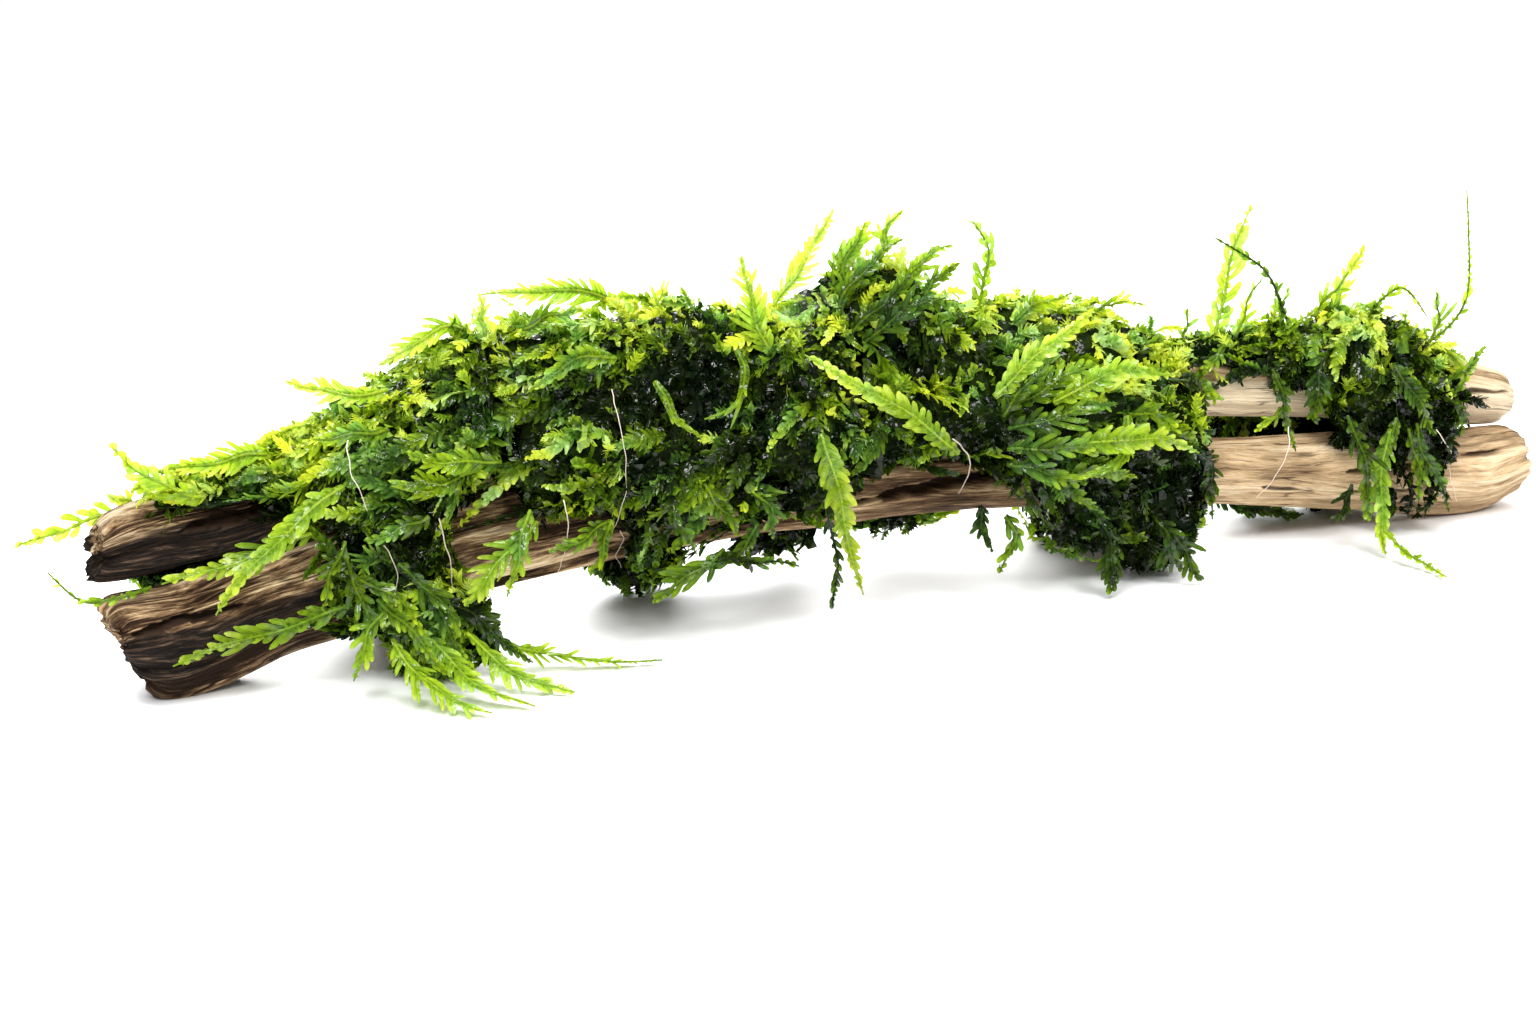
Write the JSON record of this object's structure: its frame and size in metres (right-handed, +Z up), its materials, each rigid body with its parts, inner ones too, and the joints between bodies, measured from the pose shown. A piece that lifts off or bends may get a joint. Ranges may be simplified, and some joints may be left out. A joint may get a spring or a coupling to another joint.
{
  "type": "moss on driftwood",
  "caption": "Two weathered driftwood sticks lying together under a lush coat of feathery aquarium moss with loose trailing fronds.",
  "frame": {"origin": "on the floor under the middle of the object's box", "axes": "+X along the sticks from the dark broken end to the pale rounded end, +Z up, -Y towards the side with the trailing fronds"},
  "size_m": [0.3219, 0.0709, 0.0744],
  "materials": {
    "driftwood_brown": "weathered, open grain, stained dark at the broken end",
    "driftwood_tan": "weathered, open grain",
    "moss_green": "wet dark green moss",
    "frond_green": "wet bright green, lets light through"
  },
  "bodies": {
    "root": {"lower_stick": "driftwood_brown", "upper_stick": "driftwood_tan", "moss_left_cushion": "moss_green", "moss_centre_cushion": "moss_green", "moss_right_cushion": "moss_green", "moss_right_tuft": "moss_green", "frond_far_left_spray": "frond_green", "frond_left_top": "frond_green", "frond_left_top_spray": "frond_green", "frond_left_gap": "frond_green", "tendril_left_gap": "frond_green", "frond_left_bright": "frond_green", "frond_left_shoulder": "frond_green", "frond_pale_shoulder": "frond_green", "frond_arched_top": "frond_green", "frond_bright_upright": "frond_green", "frond_tall_pale": "frond_green", "frond_crest_left": "frond_green", "frond_crest_middle": "frond_green", "frond_crest_right": "frond_green", "frond_curled_upright": "frond_green", "frond_yellow_upright": "frond_green", "stem_dark_upright": "frond_green", "frond_tuft_pale": "frond_green", "stem_tuft_arched": "frond_green", "tendril_long": "frond_green", "stem_tuft_end": "frond_green", "frond_long_face": "frond_green", "frond_hanging": "frond_green", "frond_fan_up": "frond_green", "frond_fan_across": "frond_green", "frond_fan_point": "frond_green", "frond_beard_middle": "frond_green", "frond_beard_right": "frond_green", "frond_tuft_hanging": "frond_green", "tendril_tuft_floor": "frond_green", "frond_left_stick": "frond_green", "frond_left_drop": "frond_green", "frond_floor_near": "frond_green", "frond_floor_second": "frond_green", "frond_floor_third": "frond_green", "frond_floor_long": "frond_green", "frond_mid_left": "frond_green", "frond_underside": "frond_green"}
  },
  "joints": []
}
